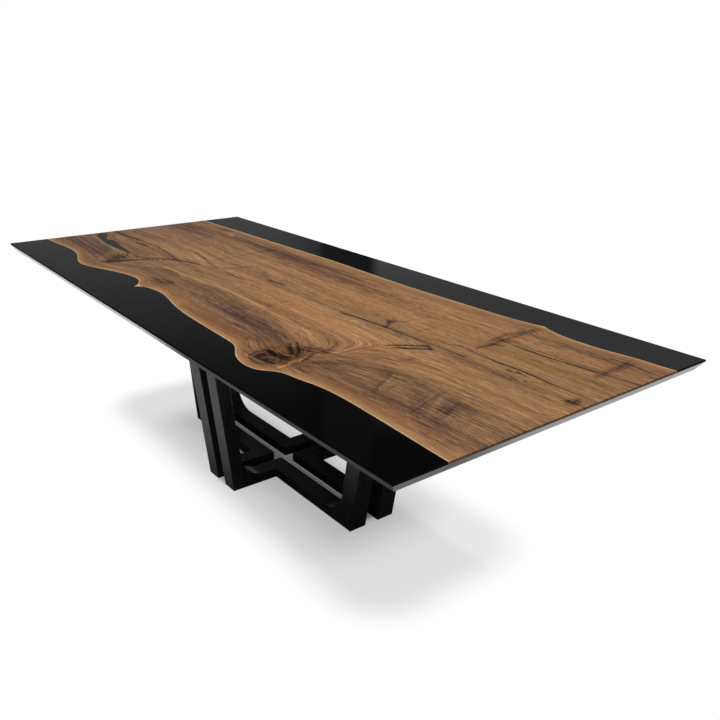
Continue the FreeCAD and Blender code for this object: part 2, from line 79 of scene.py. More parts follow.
# Broad darker and paler marks of the figure: middle in x and y, half lengths along and across, turn in
# degrees, and how much darker the wood gets there. Lengths are in millimetres.
MARKS = [
    (-1180, -345, 250, 34, -2, 0.07),
    (-990, -350, 110, 40, 0, 0.08),
    (-1250, 240, 200, 60, 0, 0.12),
    (-1100, 372, 80, 18, 0, 0.22),
    (-890, 318, 300, 20, 1, 0.18),
    (-500, 322, 360, 30, 0, 0.20),
    (-90, 332, 300, 24, 0, 0.16),
    (60, 272, 270, 24, 0, 0.20),
    (-300, 280, 260, 40, 0, 0.08),
    (-790, -360, 60, 40, 60, 0.14),
    (-640, 20, 180, 22, -13, -0.08),
    (-700, -58, 160, 18, 3, -0.07),
    (-185, 98, 70, 24, -8, -0.12),
    (-345, -325, 60, 30, 0, 0.24),
    (80, -280, 430, 82, 0, 0.04),
    (230, -385, 230, 26, 0, 0.22),
    (260, -312, 150, 44, 0, 0.08),
    (120, -250, 90, 18, 0, 0.10),
    (360, -335, 150, 34, -6, 0.07),
    (-1330, -60, 420, 420, 0, 0.08),
    (640, -355, 44, 30, -10, 0.16),
    (622, -400, 84, 60, -8, 0.10),
    (-845, -300, 62, 52, 50, 0.20),
    (-778, -356, 34, 34, 0, 0.20),
    (1060, -378, 280, 30, 0, 0.04),
    (775, -140, 80, 80, 0, 0.08),
    (-1300, 300, 160, 60, 0, 0.08),
    (690, -60, 330, 90, 0, -0.06),
    (450, -362, 44, 20, -12, 0.12),
    (-480, -305, 140, 34, 0, 0.06),
    (600, -330, 50, 34, -20, 0.12),
    (604, -438, 46, 34, -8, 0.10),
    (650, -428, 36, 30, 0, 0.12),
    (632, -296, 56, 36, 20, 0.12),
    (610, -340, 50, 30, -25, 0.10),
    (740, -400, 60, 14, -8, 0.12),
    (760, -310, 80, 30, 0, 0.14),
    (800, -35, 60, 14, 45, 0.14),
    (880, -95, 60, 30, 0, 0.10),
    (1165, -275, 110, 66, 0, 0.05),
    (1196, -262, 34, 40, -20, 0.16),
    (1000, -280, 120, 60, 0, 0.02),
    (571, 84, 17, 19, 0, 0.40),
    (556, 88, 20, 12, 0, 0.10),
    (912, 330, 26, 110, 0, 0.14),
    (930, 190, 24, 60, -6, 0.14),
    (1284, 340, 22, 100, 4, 0.10),
    (1225, -218, 40, 22, 0, 0.13),
    (1245, -340, 60, 26, 0, 0.10),
    (1110, -330, 90, 26, 0, 0.10),
    (1088, -255, 36, 24, 0, 0.12),
    (921, -226, 36, 18, 0, 0.12),
    (968, -334, 100, 24, 0, 0.12),
    (1256, -402, 40, 20, 0, 0.12),
    (1200, 372, 230, 22, 2, 0.14),
    (1010, 20, 200, 22, 0, 0.08),
    (760, -100, 520, 75, 0, -0.07),
    (700, 190, 560, 80, 0, -0.06),
    (-560, 90, 300, 60, -4, -0.07),
]

# Thin strokes of the figure: half width, how much darker the wood gets, and the points that the stroke runs
# through on the plan. Lengths are in millimetres.
STROKES = [
    (12, 0.22, [(-796, -390), (-772, -330), (-752, -266)]),
    (8, 0.34, [(-785, -360), (-752, -266), (-717, -178), (-665, -130), (-600, -102), (-520, -78)]),
    (10, -0.12, [(-850, 26), (-690, -12), (-500, -50)]),
    (5, 0.26, [(-916, -84), (-780, -90), (-656, -110)]),
    (11, 0.34, [(-1390, -106), (-1240, -96), (-1118, -89)]),
    (8, 0.28, [(-1075, -122), (-978, -111)]),
    (5, 0.28, [(-1118, -84), (-935, -77), (-901, -85)]),
    (7, 0.24, [(-801, 17), (-680, 8), (-531, -24), (-415, -40)]),
    (6, 0.24, [(-395, -36), (-371, 20), (-352, 88)]),
    (6, 0.18, [(-930, 66), (-976, 152), (-1010, 245)]),
    (8, 0.13, [(-554, 16), (-556, 153), (-577, 338)]),
    (9, 0.13, [(-250, 88), (-190, 54), (-110, 34)]),
    (9, 0.26, [(-110, 33), (-40, 38)]),
    (4, 0.30, [(-100, -63), (-40, -61)]),
    (7, -0.17, [(-1078, 359), (-1000, 331), (-950, 326)]),
    (7, -0.17, [(-1035, 396), (-985, 350), (-960, 330)]),
    (8, -0.12, [(-1054, 376), (-976, 334)]),
    (5, 0.22, [(-905, -236), (-850, -262), (-806, -296)]),
    (5, 0.22, [(-895, -262), (-846, -286), (-808, -318)]),
    (5, 0.20, [(-880, -290), (-840, -312), (-806, -340)]),
    (5, 0.18, [(-862, -318), (-830, -334), (-800, -362)]),
    (5, -0.18, [(-856, -240), (-800, -210), (-752, -150)]),
    (5, 0.22, [(-840, -240), (-790, -230), (-760, -200)]),
    (7, -0.20, [(-560, -214), (-308, -196), (-184, -180), (0, -177), (202, -184), (360, -190)]),
    (6, -0.12, [(370, -190), (470, -200), (540, -222), (590, -256)]),
    (6, 0.11, [(706, -310), (748, -235), (822, -162), (900, -124)]),
    (6, -0.10, [(716, -334), (770, -250), (850, -190), (940, -162)]),
    (6, 0.11, [(725, -360), (800, -272), (886, -222), (990, -198)]),
    (6, -0.09, [(694, -270), (730, -190), (790, -128), (860, -96)]),
    (6, 0.09, [(745, -376), (830, -312), (920, -286), (1010, -280)]),
    (5, 0.14, [(-445, -223), (-427, -198), (-341, -203)]),
    (6, 0.14, [(185, -170), (166, -117), (166, -60)]),
    (8, 0.19, [(556, -312), (592, -332), (628, -356), (652, -374)]),
    (5, 0.22, [(560, -290), (600, -312), (640, -338), (670, -366)]),
    (5, -0.08, [(560, -300), (596, -322), (634, -347)]),
    (8, 0.30, [(606, -296), (642, -280), (692, -262)]),
    (6, 0.30, [(612, -314), (652, -298), (690, -276)]),
    (5, 0.28, [(636, -264), (664, -256), (686, -244)]),
    (5, -0.12, [(600, -304), (640, -290), (676, -272)]),
    (6, 0.24, [(672, -304), (692, -334), (706, -368)]),
    (4, -0.18, [(700, -250), (704, -192), (708, -120)]),
    (4, 0.14, [(712, -240), (716, -180), (724, -100)]),
    (4, -0.34, [(694, -370), (684, -342)]),
    (4, -0.30, [(636, -372), (652, -362)]),
    (4, -0.26, [(572, -322), (580, -314)]),
    (6, -0.30, [(686, -384), (701, -410), (704, -448)]),
    (6, 0.22, [(562, -402), (553, -436), (574, -466), (612, -480), (654, -476)]),
    (6, 0.26, [(590, -418), (578, -440), (596, -460), (624, -456), (630, -436)]),
    (9, 0.30, [(586, -434), (600, -446)]),
    (8, 0.36, [(628, -444), (648, -454), (670, -444)]),
    (10, 0.34, [(612, -388), (642, -398), (674, -390)]),
    (10, 0.18, [(556, -398), (600, -408), (662, -404)]),
    (5, -0.16, [(588, -416), (620, -420), (650, -416)]),
    (6, 0.24, [(396, 4), (438, 17)]),
    (6, 0.16, [(400, 10), (560, 28), (700, 33), (834, 38)]),
    (5, 0.20, [(881, 102), (960, 95), (1050, 90), (1149, 93), (1250, 85), (1394, 82)]),
    (5, 0.20, [(904, 245), (1000, 240), (1100, 240), (1200, 250), (1289, 260), (1394, 268)]),
    (7, 0.30, [(576, 74), (594, 50), (608, 32)]),
    (4, 0.18, [(700, 88), (704, 164)]),
    (4, 0.16, [(594, 98), (600, 160), (610, 222)]),
    (7, 0.36, [(742, -82), (782, -28), (820, 16)]),
    (7, 0.32, [(772, -76), (812, -30), (848, 6)]),
    (5, -0.10, [(760, -74), (832, 8)]),
    (6, 0.26, [(822, 20), (850, 4)]),
    (5, 0.26, [(841, 41), (898, 43), (956, 41)]),
    (4, 0.26, [(799, 80), (853, 82), (880, 103)]),
    (5, 0.18, [(866, -124), (884, -112), (874, -79)]),
    (12, 0.15, [(917, 430), (917, 330)]),
    (8, 0.16, [(900, 350), (890, 306), (903, 212)]),
    (7, 0.19, [(922, 300), (924, 236), (934, 172), (928, 122)]),
    (8, 0.22, [(928, 188), (958, 206)]),
    (4, 0.44, [(1106, 68), (1120, 69)]),
    (4, 0.44, [(1134, 80), (1150, 78)]),
    (4, 0.36, [(1190, 44), (1195, 42)]),
    (5, 0.20, [(1150, 32), (1170, 29)]),
    (8, 0.15, [(1292, 228), (1288, 300), (1271, 430)]),
    (6, 0.10, [(1302, 300), (1292, 410)]),
    (13, 0.42, [(1352, 28), (1368, 32), (1362, 50)]),
    (9, 0.10, [(1001, -338), (965, -275), (927, -216)]),
    (6, 0.15, [(1162, -348), (1138, -283), (1114, -187)]),
    (10, 0.10, [(1228, -315), (1209, -266), (1189, -215)]),
    (8, -0.07, [(1208, -345), (1175, -286), (1130, -212)]),
    (4, -0.10, [(1012, -338), (976, -275), (938, -214)]),
]

# How far noise pushes marks and strokes aside, along and across. Strokes also fray, by finer noise.
MARK_SWAY = (0.008, 0.006)
STROKE_SWAY = (0.004, 0.003)
FRAY = 0.002
FRAY_WAVES = 130.0

# Cross-grain ripple: middle in x and y, half lengths along and across in millimetres, and strength. Its waves
# per metre run along and across, and lean in x for each unit of y.
CURLS = [(60, -255, 260, 56, 0.17), (1010, -280, 110, 60, 0.06), (-330, -320, 90, 60, 0.12),
         (1170, -280, 110, 70, 0.07)]
CURL_WAVES = (80.0, 8.0)
CURL_LEAN = 0.35

# The ringed knots: middle in x and y, half lengths along and across in millimetres, turn in degrees. The
# rings are a sine of the knot's oval.
RINGED_KNOTS = [(625, -435, 82, 58, -8), (-830, -330, 70, 60, 55), (576, 78, 34, 28, 0),
                (1364, 40, 44, 28, 0)]
RING_TURNS = 30.0
RING_SWAY = 3.0
RING_DEPTH = 0.09

# Layers of the straight grain: waves per metre along and across, detail, and strength.
BROAD_LAYERS = [(0.45, 9, 3, 0.18), (1.2, 40, 2, 0.14)]
FIBRE_LAYERS = [(4.0, 110, 2, 0.11), (11.0, 260, 2, 0.27), (40.0, 700, 1, 0.25)]

# The broad layers grow weaker to the right, and the fibres stronger: from which x to which x, and from what
# share to what share.
BROAD_GAIN = (-0.1, 0.9, 1.0, 0.70)
FIBRE_GAIN = (-1.2, 0.6, 0.60, 1.0)

# Other noise on the wood: waves per metre along and across, and detail.
NOISES = {
    "drift": (0.8, 4.0, 2.0),
    "ripple": (5.0, 9.0, 2.0),
    "sway": (9.0, 22.0, 3.0),
    "threads": (2.2, 75, 2.0),
    "streaks": (3.0, 210, 2.0),
    "blush": (0.7, 7.0, 2.0),
    "olive": (1.3, 13.0, 2.0),
    "pores": (26.0, 900, 1.0),
}

# How far the growth lines wander by two of these.
LINE_WANDER = {"drift": 0.016, "ripple": 0.0022}

# Tone of plain wood on the row of walnut tones. Threads are dark over one range of their noise and bright
# over another. Dark threads and heartwood change the tone, and streaks vary the marks.
PLAIN_TONE = 0.60
DARK_THREADS = (0.20, 0.60)
BRIGHT_THREADS = (-0.22, -0.60)
THREAD_TONE = -0.09
MARK_STREAKS = 0.6
HEARTWOOD_TONE = -0.13

# How ragged streaks and sway make the borders of sapwood and heartwood.
RAGGED_STREAKS = 0.004
RAGGED_SWAY = 0.010

# Width of the sapwood along the near and the far live edge: share of the length, and share of the reach.
NEAR_SAPWOOD = [(0.0, 0.52), (0.18, 0.46), (0.34, 0.44), (0.43, 0.74), (0.56, 0.80), (0.64, 0.66),
                (0.68, 0.34), (0.74, 0.26), (0.82, 0.42), (1.0, 0.34)]
FAR_SAPWOOD = [(0.0, 0.30), (0.2, 0.34), (0.45, 0.46), (0.7, 0.58), (0.82, 0.40), (0.9, 0.40), (1.0, 0.46)]
SAPWOOD_REACH = 0.1
NEAR_BLEND = 0.005
FAR_BLEND = 0.014

# The sapwood takes over part of the wood's tone, and covers most of it.
SAPWOOD_CONTRAST = 0.45
SAPWOOD_TONE = 0.34
SAPWOOD_COVER = 0.90

# Width of the darker heartwood along the near live edge: share of the length, and share of the reach. It sets
# in over a narrow inner border and fades slowly towards the live edge.
NEAR_HEARTWOOD = [(0.0, 0.66), (0.15, 0.64), (0.20, 0.34), (0.26, 0.50), (0.32, 0.70), (0.42, 0.78),
                  (0.50, 0.94), (0.60, 0.97), (0.64, 0.88), (0.67, 0.76), (0.70, 0.66), (0.73, 0.40),
                  (0.76, 0.66), (0.82, 0.98), (1.0, 0.94)]
HEARTWOOD_REACH = 0.25
HEARTWOOD_INNER = (0.012, -0.022)
HEARTWOOD_OUTER = (-0.30, -0.02)

# Paler wood along the live edges: how far its border wanders, from which to which distance it grows, how much
# it covers, and its colour.
PALE_BANDS = [
    (0.008, 0.034, 0.004, 0.40, (0.48, 0.28, 0.125)),
    (0.002, 0.007, 0.001, 0.75, (0.60, 0.40, 0.21)),
]

# Tints of the wood: middle in x and y, half lengths along and across in millimetres, and the colour that it
# is filtered by.
TINTS = [
    (-1350, 0, 520, 520, (0.98, 1.01, 1.13)),
    (-1150, 270, 380, 110, (0.97, 0.94, 1.03)),
    (-300, 300, 420, 60, (1.00, 0.94, 0.98)),
    (700, 290, 700, 190, (1.00, 0.955, 0.92)),
    (632, -380, 95, 105, (0.90, 0.74, 0.52)),
    (790, -120, 120, 90, (0.99, 0.95, 0.90)),
    (1100, -280, 330, 100, (1.10, 1.10, 1.14)),
    (950, 0, 600, 450, (0.94, 0.92, 0.91)),
    (1080, 170, 330, 42, (0.98, 1.03, 0.84)),
    (250, -95, 330, 70, (1.06, 1.01, 0.92)),
    (250, 140, 330, 34, (1.03, 1.00, 0.88)),
    (130, -295, 320, 52, (0.97, 1.00, 1.12)),
    (230, -395, 260, 34, (1.02, 0.95, 0.92)),
    (-170, -385, 200, 32, (1.12, 1.05, 1.00)),
    (-640, -400, 130, 44, (1.14, 1.16, 1.20)),
    (-1180, -285, 270, 80, (1.10, 1.22, 1.36)),
    (1050, -385, 260, 24, (0.94, 0.87, 0.86)),
    (-1130, -385, 130, 24, (0.96, 0.88, 0.94)),
    (280, 230, 300, 80, (0.96, 0.94, 0.88)),
    (915, 290, 40, 150, (1.06, 0.95, 0.90)),
    (1284, 340, 36, 120, (1.06, 0.95, 0.90)),
]

# Rows of tones from dark to pale: place between 0 and 1, and colour.
WALNUT_TONES = [
    (0.00, (0.016, 0.008, 0.005)),
    (0.20, (0.069, 0.035, 0.022)),
    (0.40, (0.162, 0.085, 0.044)),
    (0.60, (0.300, 0.157, 0.068)),
    (0.80, (0.430, 0.240, 0.099)),
    (1.00, (0.570, 0.360, 0.172)),
]
SAPWOOD_TONES = [(0.20, (0.090, 0.040, 0.016)), (0.55, (0.215, 0.100, 0.039)), (0.95, (0.470, 0.262, 0.115))]

# Filters that follow the grain, and how strong they get: blush by a swing about a middle, olive over a range
# of its noise, and the glow of bright threads by a share.
BLUSH = (0.88, 0.80, 0.88)
BLUSH_SWING = 0.55
BLUSH_MIDDLE = 0.25
OLIVE = (0.94, 0.97, 0.88)
OLIVE_RANGE = (0.05, 0.55)
GLOW = (1.18, 1.00, 0.86)
GLOW_SHARE = 0.5

# Pores, the darker grain of the two ends, and the black seal and the roughness below the lip.
PORE = (0.05, 0.03, 0.018)
PORE_RANGE = (0.28, 0.62)
PORE_COVER = 0.45
END_GRAIN = (0.030, 0.019, 0.012)
END_COVER = 0.72
END_START = 1.6 * MM
END_FULL = 0.6 * MM
BLACK_SEAL = (0.006, 0.006, 0.0065)
BEVEL_ROUGHNESS = 0.18

# The other finishes: two colours that noise runs between.
RESIN_TINTS = ((0.0008, 0.0009, 0.0008), (0.0016, 0.0017, 0.0016))
LACQUER_TINTS = ((0.0078, 0.0078, 0.0074), (0.0142, 0.0142, 0.0135))
COAT_TINTS = ((0.014, 0.014, 0.014), (0.026, 0.026, 0.027))
ZINC_TINTS = ((0.48, 0.48, 0.47), (0.66, 0.66, 0.64))
BRASS_TINTS = ((0.62, 0.44, 0.17), (0.78, 0.58, 0.27))
BEECH_TINTS = ((0.50, 0.33, 0.19), (0.66, 0.47, 0.30))
BEECH_FLECK = (0.30, 0.17, 0.08)
FLECK_RANGE = (0.35, 0.6)
FLECK_COVER = 0.6
FELT_TINTS = ((0.035, 0.035, 0.036), (0.12, 0.12, 0.118))

# Reading the live edge off a casting: points count that are this close to the top face and this far inside
# the outer edge, and the line has this many steps.
FACE_DEPTH = 0.1 * MM
OUTER_RIM = 10 * MM
STATIONS = 60

# The walls that a polished face mirrors: height on the unit sphere, and level of grey. Bearings are in
# degrees from -X towards +Y. The left wall dims towards the corner, a dark gap lies about the corner, and the
# near side is dark.
LEFT_WALL = [(0.00, 0.28), (0.19, 0.145), (0.24, 0.122), (0.31, 0.080), (0.36, 0.045), (0.41, 0.022),
             (0.50, 0.009)]
RIGHT_WALL = [(0.00, 0.30), (0.235, 0.190), (0.262, 0.155), (0.30, 0.152), (0.33, 0.178), (0.45, 0.014)]
WALL_CORNER = 38.0
LEFT_DIMMING = (31.0, 38.0)
LEFT_LOSS = -0.65
WALL_GAP_LEFT = (34.8, 35.5)
WALL_GAP_RIGHT = (39.8, 38.7)
WALL_GAP_LEVEL = 0.026
NEAR_SIDE = (-0.05, -0.25)
NEAR_LEVEL = 0.012
DOME_LEVEL = 0.55

# The overhead soft box.
LAMP_PLACE = (0.0, 0.0, 4.6)
LAMP_SIZE = (6.0, 4.2)
LAMP_POWER = 150
LAMP_AIM = (0, 0, 0.4)

# The floor: its half size, and its colour to light and to mirrored rays; the latter is painted shade.
FLOOR_REACH = 60.0
FLOOR_COLOUR = (0.80, 0.80, 0.80)
MIRRORED_FLOOR_SHADE = (0.05, 0.05, 0.05)

# Painted shadow on the floor: it is white to the eye away from a box about the base, whose half sizes are
# given.
PAINTED_SHADOW_BOX = (0.85, 0.17, 0)
PAINTED_SHADOW_EDGE = (0.10, 0.28)

# The share of white under the table rises from a box about the rails outwards: from which to which distance,
# and from what to what share. Behind the rails it is a bit more. A lower share is a deeper painted shadow.
RAIL_BOX = (0.55, 0.10, 0)
UNDER_SHADOW_RISE = (0.0, 0.28, 0.40, 0.66)
BEHIND = (0.12, 0.18)
BEHIND_GAIN = 0.09

# Painted shadow in the gaps between the frames: only part of that share is left, as far as the base reaches.
FRAME_GAP = (0.026, 0.034)
BASE_HALF_LENGTH = 0.54
BASE_HALF_WIDTH = 0.265
BASE_BLEND = 0.04
GAP_SHADOW_SHARE = 0.18

# In the inner corners of the left frames even less is left, a deeper painted shadow: borders across, towards
# the middle, and along.
NOOK_ACROSS = (0.135, 0.12)
NOOK_LEFT = (-0.07, -0.12)
NOOK_END = (0.40, 0.32)
NOOK_SHADOW_SHARE = 0.10

# Where mirrored rays see white floor: outside the first box, but not far on the near side or to the right.
# Elsewhere they see the dark floor, a painted shade that the polished faces mirror near the base.
MIRROR_EDGE = (0.02, 0.57)
MIRROR_NEAR = (-1.25, -0.25)
MIRROR_RIGHT = (2.4, 1.7)


class Recipe:
    """A material's nodes, added in the order in which they are worked out."""

    def __init__(self, tree):
        self.tree = tree
        self.tree.nodes.clear()

    def add(self, kind, **settings):
        """A node with some of its properties set."""
        node = self.tree.nodes.new(kind)
        for name, value in settings.items():
            setattr(node, name, value)
        return node

    def feed(self, socket, value):
        """A value on a socket: a link from another node, or a constant."""
        if isinstance(value, bpy.types.NodeSocket):
            self.tree.links.new(value, socket)
        else:
            socket.default_value = value

    def math(self, operation, *values, clamp=False):
        """One step of arithmetic."""
        node = self.add("ShaderNodeMath", operation=operation, use_clamp=clamp)
        for socket, value in zip(node.inputs, values):
            self.feed(socket, value)
        return node.outputs[0]

    def vector(self, operation, *values):
        """One step of arithmetic on vectors."""
        node = self.add("ShaderNodeVectorMath", operation=operation)
        for socket, value in zip(node.inputs, values):
            self.feed(socket, value)
        return node.outputs["Value" if operation in ("DOT_PRODUCT", "LENGTH", "DISTANCE") else "Vector"]

    def split(self, vector):
        """The three parts of a vector."""
        node = self.add("ShaderNodeSeparateXYZ")
        self.feed(node.inputs[0], vector)
        return node.outputs

    def join(self, x, y, z=0.0):
        """A vector from three parts."""
        node = self.add("ShaderNodeCombineXYZ")
        for socket, value in zip(node.inputs, (x, y, z)):
            self.feed(socket, value)
        return node.outputs[0]

    def noise(self, vector, waves, detail):
        """Smooth noise between about -1 and 1."""
        node = self.add("ShaderNodeTexNoise", normalize=False)
        self.feed(node.inputs["Vector"], vector)
        self.feed(node.inputs["Scale"], waves)
        self.feed(node.inputs["Detail"], detail)
        return node.outputs["Fac"]

    def stretched(self, vector, waves, detail):
        """Noise with its own waves per metre along each axis."""
        return self.noise(self.vector("MULTIPLY", vector, waves), 1.0, detail)

    def layer(self, vector, along, across, detail):
        """Noise on the plan, with its own waves per metre along and across."""
        return self.stretched(vector, (along, across, 0), detail)

    def layers(self, vector, sheets):
        """A sum of layers of noise, each with its strength."""
        total = 0.0
        for along, across, detail, strength in sheets:
            total = self.math("MULTIPLY_ADD", self.layer(vector, along, across, detail), strength, total)
        return total

    def level(self, noise, swing, middle):
        """A number that swings about a middle with noise."""
        return self.math("MULTIPLY_ADD", noise, swing, middle)

    def triple(self, value):
        """A vector with one value in all its parts."""
        return self.join(value, value, value)

    def beyond(self, place, box):
        """How far a place, given by its distances from the middle, lies outside a box of these half sizes."""
        return self.vector("LENGTH", self.vector("MAXIMUM", self.vector("SUBTRACT", place, box), (0, 0, 0)))

    def step(self, value, start, end):
        """A soft step that is 0 up to the start and 1 from the end on."""
        node = self.add("ShaderNodeMapRange", interpolation_type="SMOOTHSTEP")
        self.feed(node.inputs["Value"], value)
        self.feed(node.inputs["From Min"], start)
        self.feed(node.inputs["From Max"], end)
        return node.outputs[0]

    def spot(self, plan, middle, spread, turn):
        """A soft oval: e to the power of minus the squared distance, counted in half lengths of the oval.
        The plan is two vectors, x in each part of the first and y in each part of the second, so that the
        turned and stretched place is x times one constant vector, plus y times another, plus a third."""
        cosine, sine = math.cos(math.radians(turn)), math.sin(math.radians(turn))
        length, width = spread[0] * MM, spread[1] * MM
        by_x = (cosine / length, -sine / width, 0)
        by_y = (sine / length, cosine / width, 0)
        start = tuple(-MM * (middle[0] * a + middle[1] * b) for a, b in zip(by_x, by_y))
        place = self.vector("MULTIPLY_ADD", plan[0], by_x, self.vector("MULTIPLY_ADD", plan[1], by_y, start))
        return self.math("POWER", math.exp(-1), self.vector("DOT_PRODUCT", place, place))

    def stroke(self, place, points):
        """The distance from a line through some points, which are given in millimetres on the plan."""
        nearest = 1.0
        for (x, y), (next_x, next_y) in zip(points, points[1:]):
            along, across = (next_x - x) * MM, (next_y - y) * MM
            square = along * along + across * across
            offset = self.vector("SUBTRACT", place, (x * MM, y * MM, 0))
            share = self.vector("DOT_PRODUCT", offset, (along / square, across / square, 0))
            share = self.math("MINIMUM", self.math("MAXIMUM", share, 0.0), 1.0)
            foot = self.vector("MULTIPLY", (along, across, 0), self.join(share, share, 0.0))
            nearest = self.math("MINIMUM", nearest, self.vector("DISTANCE", offset, foot))
        return nearest

    def fade(self, distance, reach):
        """One at no distance, falling off as e to the power of minus the squared distance in reaches."""
        ratio = self.math("MULTIPLY", distance, 1 / reach)
        return self.math("POWER", math.exp(-1), self.math("MULTIPLY", ratio, ratio))

    def mix(self, factor, first, second, blend="MIX"):
        """A colour between two colours."""
        node = self.add("ShaderNodeMix", data_type="RGBA", blend_type=blend)
        self.feed(node.inputs[0], factor)
        self.feed(node.inputs[6], colour(first))
        self.feed(node.inputs[7], colour(second))
        return node.outputs[2]

    def between(self, factor, first, second):
        """A number between two numbers."""
        node = self.add("ShaderNodeMix", data_type="FLOAT")
        self.feed(node.inputs[0], factor)
        self.feed(node.inputs[2], first)
        self.feed(node.inputs[3], second)
        return node.outputs[0]

    def shift(self, value, start, end, first, second):
        """A number that goes from one level to another while the value goes from the start to the end."""
        return self.between(self.step(value, start, end), first, second)

    def blend(self, noise, first, second):
        """A colour between two colours, by noise between about -1 and 1."""
        return self.mix(self.math("MULTIPLY_ADD", noise, 0.5, 0.5, clamp=True), first, second)

    def ramp(self, factor, stops):
        """A colour read off a row of stops."""
        node = self.add("ShaderNodeValToRGB")
        self.feed(node.inputs[0], factor)
        elements = node.color_ramp.elements
        for place, _ in stops[2:]:
            elements.new(place)
        for element, (place, tint) in zip(elements, stops):
            element.position = place
            element.color = colour(tint)
        return node.outputs[0]

    def bump(self, height, strength, distance):
        """A normal tilted by a height."""
        node = self.add("ShaderNodeBump")
        self.feed(node.inputs["Height"], height)
        self.feed(node.inputs["Strength"], strength)
        self.feed(node.inputs["Distance"], distance)
        return node.outputs[0]

    def curve(self, value, spots):
        """A line through some points, read at a value. Points and value lie between 0 and 1."""
        node = self.add("ShaderNodeFloatCurve")
        line = node.mapping.curves[0]
        for place, level in spots[1:-1]:
            line.points.new(place, level)
        line.points[0].location = spots[0]
        line.points[-1].location = spots[-1]
        node.mapping.update()
        self.feed(node.inputs["Value"], value)
        return node.outputs[0]


def colour(value):
    """Three numbers become a colour; a socket stays as it is."""
    return value if isinstance(value, bpy.types.NodeSocket) else (*value, 1.0)


def grey(level):
    """A colour with one level in all its parts."""
    return (level, level, level)


def finish(name, **sockets):
    """A material with one principled shader, its recipe, and the place on the piece. Constant sockets are set
    on the shader itself."""
    material = bpy.data.materials.new(name)
    material.use_nodes = True
    recipe = Recipe(material.node_tree)
    output = recipe.add("ShaderNodeOutputMaterial")
    shader = recipe.add("ShaderNodeBsdfPrincipled")
    recipe.tree.links.new(shader.outputs[0], output.inputs[0])
    for socket, value in sockets.items():
        shader.inputs[socket.replace("_", " ")].default_value = value
    place = recipe.add("ShaderNodeTexCoord").outputs["Object"]
    return material, recipe, shader, place


def below_lip(recipe, height):
    """0 on the top face and the lip, 1 on the bevel and the underside."""
    return recipe.step(height, TOP - LIP + LIP_BLEND, TOP - LIP - LIP_BLEND)


def live_edge(recipe, share, casting):
    """The place across the board of one live edge, by the share of the length: the inner rim of a casting's
    top face, read at even stations."""
    spots = np.empty(len(casting.data.vertices) * 3)
    casting.data.vertices.foreach_get("co", spots)
    spots = spots.reshape(-1, 3)
    inner = (spots[:, 2] > TOP - FACE_DEPTH) & (np.abs(spots[:, 1]) < HALF_WIDTH - OUTER_RIM)
    rim = spots[inner]
    rim = rim[np.argsort(rim[:, 0])]
    station = np.linspace(0, 1, STATIONS + 1)
    level = np.interp((2 * station - 1) * HALF_LENGTH, rim[:, 0], rim[:, 1])
    line = list(zip(station.tolist(), ((level / HALF_WIDTH + 1) / 2).tolist()))
    return recipe.math("MULTIPLY_ADD", recipe.curve(share, line), 2 * HALF_WIDTH, -HALF_WIDTH)


def growth_lines(recipe, along, across, flat, plan):
    """The course of the growth lines: the place across the board, pushed aside where the lines bend."""
    bend = 0.0
    for x, y, length, width, dip in LINE_DIPS:
        spot = recipe.spot(plan, (x, y), (length, width), 0)
        bend = recipe.math("MULTIPLY_ADD", spot, dip * MM, bend)
    for x, y, lean, left, right, left_dip, right_dip, middle, half in SEAMS:
        foot = recipe.math("MULTIPLY_ADD", across, lean, (x - lean * y) * MM)
        beyond = recipe.math("SUBTRACT", along, foot)
        level = recipe.fade(recipe.math("SUBTRACT", across, middle * MM), half * MM)
        for reach, dip, side in ((left, left_dip, "LESS_THAN"), (-right, right_dip, "GREATER_THAN")):
            bent = recipe.math("POWER", math.e, recipe.math("MULTIPLY", beyond, 1 / (reach * MM)))
            bent = recipe.math("MULTIPLY", bent, recipe.math(side, beyond, 0.0))
            bend = recipe.math("MULTIPLY_ADD", recipe.math("MULTIPLY", bent, level), dip * MM, bend)
    line = recipe.math("ADD", across, bend)
    for name, push in LINE_WANDER.items():
        line = recipe.math("MULTIPLY_ADD", recipe.layer(flat, *NOISES[name]), push, line)
    return line


